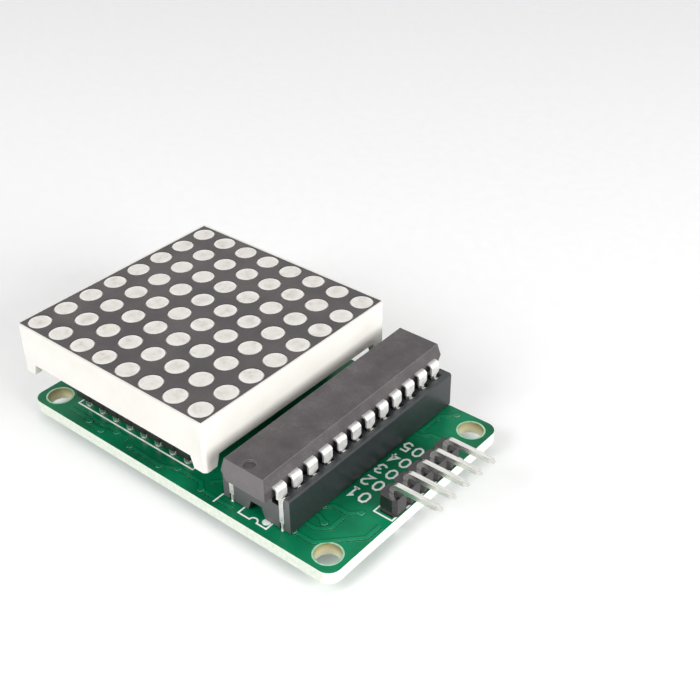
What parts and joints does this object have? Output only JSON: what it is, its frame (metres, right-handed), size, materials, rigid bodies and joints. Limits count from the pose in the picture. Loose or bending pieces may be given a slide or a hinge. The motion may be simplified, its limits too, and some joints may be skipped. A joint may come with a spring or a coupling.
{
  "type": "led dot matrix module",
  "caption": "Square dot matrix display plugged into a small green board beside its socketed driver chip, with right-angle pin headers.",
  "frame": {"origin": "centre of the four mounting holes, on the board's underside", "axes": "+X along the board's length towards the input header, +Y along its width, +Z out of the display's face"},
  "size_m": [0.0604, 0.0323, 0.0145],
  "materials": {
    "circuit_board": "glass-epoxy board under green solder mask, semi-gloss",
    "white_housing": "moulded white plastic, fine matt texture",
    "face_film": "printed dark grey face film, matt",
    "diffuser": "cast epoxy filled with a white diffuser, satin",
    "led_die": "light-emitting semiconductor die",
    "tinned_pin": "tin-plated copper alloy, bright",
    "turned_contact": "turned and tin-plated brass, bright",
    "fork_contact": "stamped and tin-plated spring bronze",
    "black_plastic": "moulded black plastic, satin",
    "socket_plastic": "moulded dark grey plastic, satin",
    "chip_epoxy": "transfer-moulded dark epoxy, fine matt grain",
    "resistor_coat": "dipped enamel coat, gloss",
    "capacitor_coat": "dipped epoxy coat, gloss",
    "can_aluminium": "drawn aluminium can",
    "can_sleeve": "shrunk plastic sleeve, gloss",
    "can_rubber": "moulded rubber bung",
    "solder": "solder, bright with a slightly dull skin"
  },
  "bodies": {
    "root": {"board": "circuit_board", "display_housing": "white_housing", "face_film": "face_film", "diffuser_dots": "diffuser", "led_dies": "led_die", "display_board": "circuit_board", "back_potting": "diffuser", "display_pins_front": "tinned_pin", "display_pins_back": "tinned_pin", "strip_body_front": "black_plastic", "strip_body_back": "black_plastic", "strip_contacts_front": "turned_contact", "strip_contacts_back": "turned_contact", "socket_body": "socket_plastic", "socket_contacts_left": "fork_contact", "socket_contacts_right": "fork_contact", "chip_body": "chip_epoxy", "chip_legs_left": "tinned_pin", "chip_legs_right": "tinned_pin", "input_header_body": "black_plastic", "output_header_body": "black_plastic", "input_pin_1": "tinned_pin", "input_pin_2": "tinned_pin", "input_pin_3": "tinned_pin", "input_pin_4": "tinned_pin", "input_pin_5": "tinned_pin", "output_pin_1": "tinned_pin", "output_pin_2": "tinned_pin", "output_pin_3": "tinned_pin", "output_pin_4": "tinned_pin", "output_pin_5": "tinned_pin", "resistor_body": "resistor_coat", "resistor_leads": "tinned_pin", "disc_body": "capacitor_coat", "disc_leads": "tinned_pin", "can_shell": "can_aluminium", "can_sleeve": "can_sleeve", "can_bung": "can_rubber", "can_leads": "tinned_pin", "solder_socket": "solder", "solder_strips": "solder", "solder_input": "solder", "solder_output": "solder", "solder_leads": "solder"}
  },
  "joints": []
}
